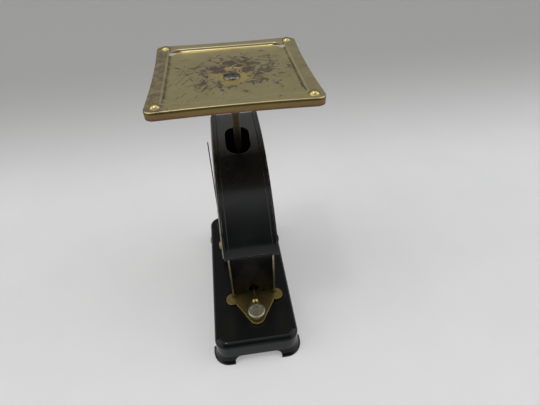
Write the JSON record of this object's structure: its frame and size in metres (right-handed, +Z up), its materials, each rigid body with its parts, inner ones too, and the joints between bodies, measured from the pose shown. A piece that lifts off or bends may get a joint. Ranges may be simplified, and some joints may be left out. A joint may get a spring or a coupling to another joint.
{
  "type": "letter scale",
  "caption": "Fan-cased letter scale: square brass tray on a stem, black casing with side dial and pointer, pressed base with a zero-setting plate.",
  "frame": {"origin": "on the surface that the feet stand on, at the middle of the object's box", "axes": "+Z up; -Y towards the end with the zero-setting thumbscrew; -X towards the dial"},
  "size_m": [0.0958, 0.142, 0.1834],
  "materials": {
    "black_enamel": "gloss",
    "aged_brass": "worn",
    "frame_brass": "satin",
    "dull_steel": "satin",
    "dial_enamel": "satin",
    "blued_steel": "satin"
  },
  "bodies": {
    "stand": {"base_shell": "black_enamel", "frame_cheek_left": "black_enamel", "frame_cheek_right": "black_enamel", "frame_front_web": "black_enamel", "frame_spacers": "frame_brass", "frame_foot_screws": "dull_steel", "frame_foot_nuts": "dull_steel", "casing_band": "black_enamel", "casing_side_left": "black_enamel", "casing_side_right": "black_enamel", "casing_screws_left": "frame_brass", "casing_screws_right": "frame_brass", "dial_card": "dial_enamel", "pointer_stop_pins": "frame_brass", "arbor_bush_left": "frame_brass", "arbor_bush_right": "frame_brass", "link_pivot_pin": "dull_steel", "link_collars": "frame_brass", "return_spring": "dull_steel", "thumbscrew_nut": "dull_steel"},
    "lever": {"main_lever": "frame_brass", "lever_arbor": "dull_steel", "arbor_collars": "frame_brass", "spring_pin": "dull_steel", "pointer": "blued_steel", "pointer_hub": "blued_steel", "pointer_nut": "blued_steel"},
    "tray_carrier": {"tray": "aged_brass", "tray_boss": "aged_brass", "tray_screw": "dull_steel", "stem": "aged_brass", "stem_pin_lower": "dull_steel", "stem_pin_upper": "dull_steel"},
    "link": {"guide_link": "frame_brass"},
    "zero_rocker": {"zero_plate": "frame_brass", "spring_anchor_stud": "frame_brass", "stud_washer": "dull_steel"},
    "thumbscrew": {"zero_thumbscrew": "dull_steel"}
  },
  "joints": [
    {"name": "lever_pivot", "type": "hinge", "parent": "stand", "child": "lever", "pos_m": [0, 0.02797, 0.0475], "axis": [1, 0, 0], "range_deg": [0, 56], "stiffness_Nm_per_rad": 0.1, "springref_deg": -22.92, "deforming": ["return_spring"]},
    {"name": "stem_pivot", "type": "hinge", "parent": "lever", "child": "tray_carrier", "pos_m": [0, 0.01384, 0.05501], "axis": [1, 0, 0], "range_deg": [-56, 0]},
    {"name": "link_pivot", "type": "hinge", "parent": "stand", "child": "link", "pos_m": [0, 0.02797, 0.0915], "axis": [1, 0, 0], "range_deg": [0, 56]},
    {"name": "thumbscrew_turn", "type": "hinge", "parent": "stand", "child": "thumbscrew", "pos_m": [0, -0.04716, 0.0237], "axis": [0, 0, -1], "range_deg": [0, 180]},
    {"name": "zero_plate_tilt", "type": "hinge", "parent": "stand", "child": "zero_rocker", "pos_m": [0, -0.03116, 0.0215], "axis": [1, 0, 0], "range_deg": [0, 1.3], "stiffness_Nm_per_rad": 0.000413, "springref_deg": -57.3}
  ],
  "couplings": [
    {"joint": "stem_pivot", "follows": "lever_pivot", "ratio": -1},
    {"joint": "link_pivot", "follows": "lever_pivot", "ratio": 1},
    {"joint": "zero_plate_tilt", "follows": "thumbscrew_turn", "ratio": 0.006963}
  ]
}
